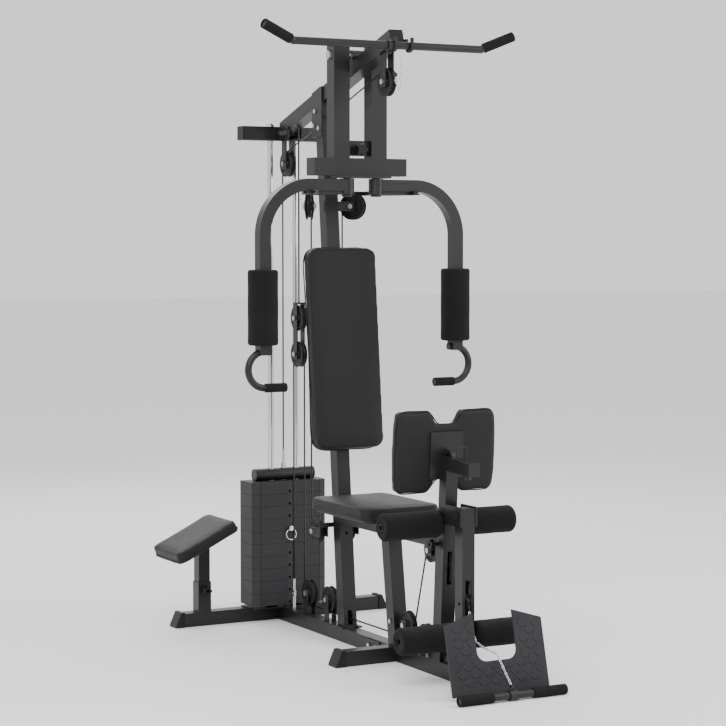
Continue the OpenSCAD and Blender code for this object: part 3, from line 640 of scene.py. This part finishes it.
@dataclass
class FoamSleeves:
    """Closed cell foam sleeves with rounded ends on round tubes."""

    name: str
    body: str
    nodes: tuple[str, ...]
    centres: tuple[tuple[float, float, float], ...]
    axis: tuple[float, float, float]
    length: float
    radius: float
    bore: float
    corner: float = 0.009
    cap: bool = False

    def outline(self) -> list[tuple[float, float]]:
        """The closed outline of one sleeve as (radius, height)."""
        half, r, c = self.length / 2, self.radius, self.corner
        points = [(self.bore, -half)]
        for k in range(7):
            a = -math.pi / 2 + k * math.pi / 12
            points.append((r - c + c * math.cos(a), -half + c + c * math.sin(a)))
        for k in range(1, 12):
            z = -half + c + (self.length - 2 * c) * k / 12
            points.append((r - 0.0006 * math.sin(k * math.pi / 6) ** 2, z))
        for k in range(7):
            a = k * math.pi / 12
            points.append((r - c + c * math.cos(a), half - c + c * math.sin(a)))
        points.append((self.bore, half))
        return points

    def build(self, shop: Workshop) -> bpy.types.Object:
        """Turns the sleeves and places them as one piece."""
        turn = Vector((0, 0, 1)).rotation_difference(Vector(self.axis)).to_matrix().to_4x4()
        work = bmesh.new()
        for centre in self.centres:
            mesh = shop.lathe(self.name, self.outline(), Matrix.Translation(centre) @ turn, 72)
            work.from_mesh(mesh)
            bpy.data.meshes.remove(mesh)
        mesh = bpy.data.meshes.new(self.name)
        work.to_mesh(mesh)
        work.free()
        return shop.place(shop.add(self.name, mesh), self.body, "foam_black", *self.nodes)


@dataclass
class RibbedGrips:
    """Rubber grips whose ribs are rings repeated along the bar."""

    name: str
    body: str
    nodes: tuple[str, ...]
    spans: tuple[tuple[tuple[float, float, float], tuple[float, float, float]], ...]
    radius: float
    bore: float
    pitch: float = 0.0055

    def build(self, shop: Workshop) -> bpy.types.Object:
        """Repeats the ribs along each span and places the piece."""
        core = self.radius - 0.0014
        half = self.pitch / 2
        outline = [(self.bore, -half), (core, -half), (self.radius - 0.0004, -half * 0.55),
                   (self.radius, 0.0), (self.radius - 0.0004, half * 0.55), (core, half), (self.bore, half)]
        rib = shop.lathe(self.name + "_rib", outline, Matrix.Identity(4), 40)
        points, turns = [], []
        for a, b in self.spans:
            start, end = Vector(a), Vector(b)
            run = end - start
            turn = Vector((0, 0, 1)).rotation_difference(run).to_euler()
            count = int(run.length / self.pitch)
            for i in range(count):
                points.append(start + run * ((i + 0.5) / count))
                turns.append(Vector(turn))
        piece = shop.scatter(self.name, rib, points, turns, "rubber_black")
        return shop.place(piece, self.body, "rubber_black", *self.nodes)


@dataclass
class Chain:
    """A welded link chain along a route."""

    name: str
    node: str
    route: tuple[tuple[float, float, float], ...]
    wire: float = 0.0013
    half_length: float = 0.0078
    half_width: float = 0.0044
    pitch: float = 0.0119

    def link(self, shop: Workshop) -> bpy.types.Mesh:
        """One oval link of round wire, long side along Z."""
        work = bmesh.new()
        bend = self.half_width - self.wire
        straight = self.half_length - self.half_width
        path = []
        for k in range(7):
            a = k * math.pi / 6
            path.append((bend * math.cos(a), straight + bend * math.sin(a)))
        for k in range(7):
            a = math.pi + k * math.pi / 6
            path.append((bend * math.cos(a), -straight + bend * math.sin(a)))
        rings = []
        count = len(path)
        for i, (x, z) in enumerate(path):
            before, after = path[i - 1], path[(i + 1) % count]
            along = Vector((after[0] - before[0], 0, after[1] - before[1])).normalized()
            side = along.cross(Vector((0, 1, 0)))
            rings.append([work.verts.new(Vector((x, 0, z)) + self.wire * (
                side * math.cos(j * math.pi / 3) + Vector((0, 1, 0)) * math.sin(j * math.pi / 3))) for j in range(6)])
        for i in range(count):
            here, there = rings[i], rings[(i + 1) % count]
            for j in range(6):
                k = (j + 1) % 6
                work.faces.new((here[j], here[k], there[k], there[j]))
        bmesh.ops.recalc_face_normals(work, faces=work.faces)
        mesh = bpy.data.meshes.new(self.name + "_link")
        work.to_mesh(mesh)
        work.free()
        return mesh

    def build(self, shop: Workshop) -> bpy.types.Object:
        """Sets the links along the route, every other one turned a quarter."""
        nodes = [Vector(p) for p in self.route]
        lengths = [(b - a).length for a, b in zip(nodes, nodes[1:])]
        total = sum(lengths)
        count = int(total / self.pitch)
        points, turns = [], []
        for i in range(count + 1):
            left = total * i / count
            for (a, b), length in zip(zip(nodes, nodes[1:]), lengths):
                if left <= length + 1e-9:
                    break
                left -= length
            run = (b - a).normalized()
            turn = Vector((0, 0, 1)).rotation_difference(run) @ Matrix.Rotation(
                math.pi / 2 * (i % 2), 3, "Z").to_quaternion()
            points.append(a + run * min(left, length))
            turns.append(Vector(turn.to_euler()))
        piece = shop.scatter(self.name, self.link(shop), points, turns, "chrome_steel")
        return piece


@dataclass
class TreadPlate:
    """Raised lozenges on the front face of the foot plate."""

    body: str = "frame"
    foot: tuple[float, float, float] = (0.0, -1.045, 0.012)
    lean: float = 14.0
    thick: float = 0.005
    spacing: float = 0.0235
    lozenge_half: tuple[float, float] = (0.0132, 0.0036)
    lozenge_top: tuple[float, float] = (0.62, 0.55)
    lozenge_rise: float = 0.0016
    sink: float = 0.0002
    margin: float = 0.0125
    half_width: float = 0.175
    notch_half: float = 0.071
    notch_foot: float = 0.1
    outer_top: float = 0.218
    inner_top: float = 0.25

    def inside(self, x: float, y: float) -> bool:
        """Whether a lozenge at (x, y) lies on the plate, clear of its edges."""
        top = self.inner_top + (self.outer_top - self.inner_top) * max(
            0.0, (abs(x) - self.notch_half) / (self.half_width - self.notch_half))
        on_plate = abs(x) < self.half_width - self.margin and self.margin < y < top - self.margin
        in_notch = abs(x) < self.notch_half + self.margin and y > self.notch_foot - self.margin
        return on_plate and not in_notch

    def lozenge(self) -> bpy.types.Mesh:
        """One low lens with its long side along X."""
        work = bmesh.new()
        (a, b), (u, v), h = self.lozenge_half, self.lozenge_top, self.lozenge_rise
        rim = [work.verts.new((a * math.cos(t), b * math.sin(t), 0)) for t in
               [k * math.pi / 6 for k in range(12)]]
        mid = [work.verts.new((a * u * math.cos(t), b * v * math.sin(t), h)) for t in
               [k * math.pi / 6 for k in range(12)]]
        for i in range(12):
            j = (i + 1) % 12
            work.faces.new((rim[i], rim[j], mid[j], mid[i]))
        work.faces.new(mid)
        work.faces.new(list(reversed(rim)))
        mesh = bpy.data.meshes.new("tread_lozenge")
        work.to_mesh(mesh)
        work.free()
        return mesh

    def build(self, shop: Workshop) -> bpy.types.Object:
        """Repeats the lozenges in crossed rows over the plate."""
        lean = math.radians(self.lean)
        up = Vector((0, math.sin(lean), math.cos(lean)))
        out = Vector((0, -math.cos(lean), math.sin(lean)))
        face = Matrix((Vector((1, 0, 0)), up, out)).transposed()
        points, turns = [], []
        rows = int(self.inner_top / self.spacing) + 1
        cols = int(self.half_width / self.spacing) + 1
        for i in range(-cols, cols + 1):
            for j in range(rows):
                x, y = i * self.spacing, (j + 0.5) * self.spacing
                if self.inside(x, y):
                    spin = math.radians(45 if (i + j) % 2 else -45)
                    turn = (face @ Matrix.Rotation(spin, 3, "Z")).to_euler()
                    points.append(Vector(self.foot) + Vector((x, 0, 0)) + up * y + out * (self.thick - self.sink))
                    turns.append(Vector(turn))
        piece = shop.scatter("tread_pattern", self.lozenge(), points, turns, "tread_plate")
        return shop.place(piece, self.body, "tread_plate")


@dataclass
class StackCable:
    """The straight cable over the stack, made at one fixed length."""

    joint: str = "stack_lift"
    radius: float = 0.0028
    sides: int = 20
    spans: int = 40

    def build(self, shop: Workshop) -> bpy.types.Object:
        """Makes the cable from its node's box and places it on the frame."""
        low, high = (Vector(p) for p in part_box("cable_stack"))
        x, y = (low.x + high.x) / 2, (low.y + high.y) / 2
        length = high.z - low.z
        work = bmesh.new()
        rings = []
        for k in range(self.spans + 1):
            z = low.z + length * k / self.spans
            rings.append([work.verts.new((x + self.radius * math.cos(a), y + self.radius * math.sin(a), z))
                          for a in [2 * math.pi * j / self.sides for j in range(self.sides)]])
        for here, there in zip(rings, rings[1:]):
            for j in range(self.sides):
                k = (j + 1) % self.sides
                work.faces.new((here[j], here[k], there[k], there[j]))
        work.faces.new(list(reversed(rings[0])))
        work.faces.new(rings[-1])
        mesh = bpy.data.meshes.new("stack_cable")
        work.to_mesh(mesh)
        work.free()
        cable = shop.place(shop.add("stack_cable", mesh), "frame", "cable_coat", "cable_stack")
        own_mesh(cable)
        return cable


@dataclass
class Studio:
    """Pale floor, soft light and the camera."""

    eye: tuple[float, float, float] = (-3.376, -6.397, 1.399)
    heading: float = 28.4
    pitch: float = 3.384
    lens: float = 103.14
    floor_tone: float = 0.9

    def build(self) -> None:
        """Adds the camera, the floor and the lights."""
        self._camera()
        self._floor()
        self._light("key_light", (-3.2, -3.4, 4.2), 3.4, 210.0)
        self._light("fill_light", (3.6, -3.0, 2.8), 3.2, 95.0)
        self._light("back_light", (0.6, 3.6, 3.6), 3.0, 90.0)
        world = bpy.data.worlds.new("soft_room")
        bpy.context.scene.world = world
        world.use_nodes = True
        ground = world.node_tree.nodes["Background"]
        ground.inputs["Color"].default_value = (1.0, 1.0, 1.0, 1.0)
        ground.inputs["Strength"].default_value = 1.15

    def _camera(self) -> None:
        """A long lens from the front left, a little above the seat."""
        data = bpy.data.cameras.new("studio_camera")
        data.lens = self.lens
        data.sensor_width = 36.0
        data.clip_end = 60.0
        cam = bpy.data.objects.new("studio_camera", data)
        bpy.context.scene.collection.objects.link(cam)
        a, p = math.radians(self.heading), math.radians(self.pitch)
        look = Vector((math.sin(a) * math.cos(p), math.cos(a) * math.cos(p), -math.sin(p)))
        cam.matrix_world = Matrix.Translation(self.eye) @ look.to_track_quat("-Z", "Y").to_matrix().to_4x4()
        bpy.context.scene.camera = cam

    def _floor(self) -> None:
        """A wide pale floor that fades into the white room."""
        mesh = bpy.data.meshes.new("studio_floor")
        mesh.from_pydata([(-40, -40, 0), (40, -40, 0), (40, 40, 0), (-40, 40, 0)], [], [(0, 1, 2, 3)])
        floor = Workshop.add("studio_floor", mesh, smooth=False)
        mat = bpy.data.materials.new("pale_floor")
        mat.use_nodes = True
        shader = mat.node_tree.nodes["Principled BSDF"]
        shader.inputs["Base Color"].default_value = (self.floor_tone, self.floor_tone, self.floor_tone, 1)
        shader.inputs["Roughness"].default_value = 0.9
        shader.inputs["Specular IOR Level"].default_value = 0.1
        mesh.materials.append(mat)

    @staticmethod
    def _light(name: str, place: tuple[float, float, float], size: float, power: float) -> None:
        """A square soft light aimed at the middle of the machine."""
        data = bpy.data.lights.new(name, "AREA")
        data.size = size
        data.energy = power
        lamp = bpy.data.objects.new(name, data)
        bpy.context.scene.collection.objects.link(lamp)
        aim = Vector((0, -0.1, 0.9)) - Vector(place)
        lamp.matrix_world = Matrix.Translation(place) @ aim.to_track_quat("-Z", "Y").to_matrix().to_4x4()


@dataclass
class Upholstery:
    """All four pads."""

    pads: tuple[Pad, ...] = (
        Pad("back_pad", "frame", (0.0, 0.9956, -0.0941)),
        Pad("seat_pad", "frame", (0.0, 0.0, -1.0)),
        Pad("curl_pad", "curl", (0.0, -0.998, -0.0628)),
        Pad("arm_pad", "arm_rest", (0.4384, 0.0, -0.8988), voxel=0.005),
    )

    def build(self, shop: Workshop) -> None:
        """Builds each pad in turn."""
        for pad in self.pads:
            pad.build(shop)


@dataclass
class Stations:
    """Foams, grips and chains of the stations."""

    arm_x: float = 0.373
    arm_y: float = field(default_factory=lambda: next(
        j for j in frame["joints"] if j["name"] == "arm_left_swing")["pos_m"][1])

    def build(self, shop: Workshop) -> None:
        """Builds the foams, the grips and the chains."""
        for side, sign in (("left", -1), ("right", 1)):
            x = sign * self.arm_x
            FoamSleeves(f"arm_foam_{side}", f"arm_{side}", (f"pec_foam_{side}",), ((x, self.arm_y, 1.174),),
                        (0, 0, 1), 0.252, 0.051, 0.0288).build(shop)
            RibbedGrips(f"arm_grip_{side}", f"arm_{side}", (),
                        (((sign * 0.288, self.arm_y, 0.905), (sign * 0.366, self.arm_y, 0.905)),),
                        0.0155, 0.0121).build(shop)
        for name, body, node in (("leg_roller", "leg", "leg_foams"), ("knee_roller", "frame", "knee_foams")):
            low, high = (Vector(p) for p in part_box(node))
            mid = (low + high) / 2
            FoamSleeves(name, body, (node,), ((-0.137, mid.y, mid.z), (0.137, mid.y, mid.z)), (1, 0, 0),
                        0.206, (high.z - low.z) / 2, 0.0127, corner=0.012).build(shop)
        self._bars(shop)
        self._chains(shop)

    @staticmethod
    def _bars(shop: Workshop) -> None:
        """Grips of the long and the short bar."""
        mid = Vector((-0.045, -0.416, 2.035))
        spans = tuple((tuple(mid + Vector((s * 0.360, -0.0018, 0.0041))),
                       tuple(mid + Vector((s * 0.465, -0.0206, 0.0472)))) for s in (-1, 1))
        RibbedGrips("long_bar_grips", "long_bar", ("lat_grips",), spans, 0.017, 0.0131).build(shop)
        low, high = (Vector(p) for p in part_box("low_grips"))
        y, z = (low.y + high.y) / 2, (low.z + high.z) / 2
        spans = tuple(((s * 0.072, y, z), (s * 0.192, y, z)) for s in (-1, 1))
        RibbedGrips("short_bar_grips", "short_bar", ("low_grips",), spans, 0.0165, 0.0121).build(shop)

    @staticmethod
    def _chains(shop: Workshop) -> None:
        """The three chains, each placed on no body and baked where it lies."""
        lat = Chain("long_bar_chain", "chain_lat", (
            (0, -0.418, 2.002), (0, -0.417, 1.95), (0, -0.410, 1.905), (0, -0.402, 1.895), (0, -0.396, 1.897),
            (0, -0.382, 1.922), (0, -0.377, 1.934))).build(shop)
        shop.place(lat, None, "chrome_steel", "chain_lat")
        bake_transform(lat)
        leg = Chain("leg_chain", "chain_low", (
            (0, -0.857, 0.226), (0, -0.871, 0.175), (0, -0.896, 0.145), (0, -0.950, 0.132),
            (0, -1.010, 0.128))).build(shop)
        shop.place(leg, None, "chrome_steel", "chain_low")
        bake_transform(leg)
        low = Chain("short_bar_chain", "chain_low", (
            (0, -1.018, 0.126), (0, -1.030, 0.118), (0, -1.062, 0.085), (0, -1.098, 0.050))).build(shop)
        shop.place(low, None, "chrome_steel", "chain_low")
        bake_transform(low)


@dataclass
class LegCable:
    """The lower cable."""

    start: tuple[float, float, float] = (0.0, -0.665, 0.40)
    end: tuple[float, float, float] = (0.0, -0.842, 0.40)

    def build(self, shop: Workshop) -> bpy.types.Object:
        """Merges a copy of the cable's solid and places it on no body."""
        mesh = frame["nodes"]["cable_low"].data.copy()
        mesh.materials.clear()
        work = bmesh.new()
        work.from_mesh(mesh)
        bmesh.ops.remove_doubles(work, verts=work.verts, dist=1e-5)
        work.to_mesh(mesh)
        work.free()
        mesh.name = "lower_cable"
        cable = shop.place(shop.add("lower_cable", mesh), None, "cable_coat", "cable_low")
        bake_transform(cable)
        return cable


def main() -> None:
    """Builds the studio and the looks of the gym in order."""
    logging.basicConfig(level=logging.INFO, format="%(name)s: %(message)s")
    Studio().build()
    shop = Workshop()
    shop.dress_nodes()
    Upholstery().build(shop)
    Stations().build(shop)
    TreadPlate().build(shop)
    StackCable().build(shop)
    LegCable().build(shop)


if __name__ == "__main__":
    main()
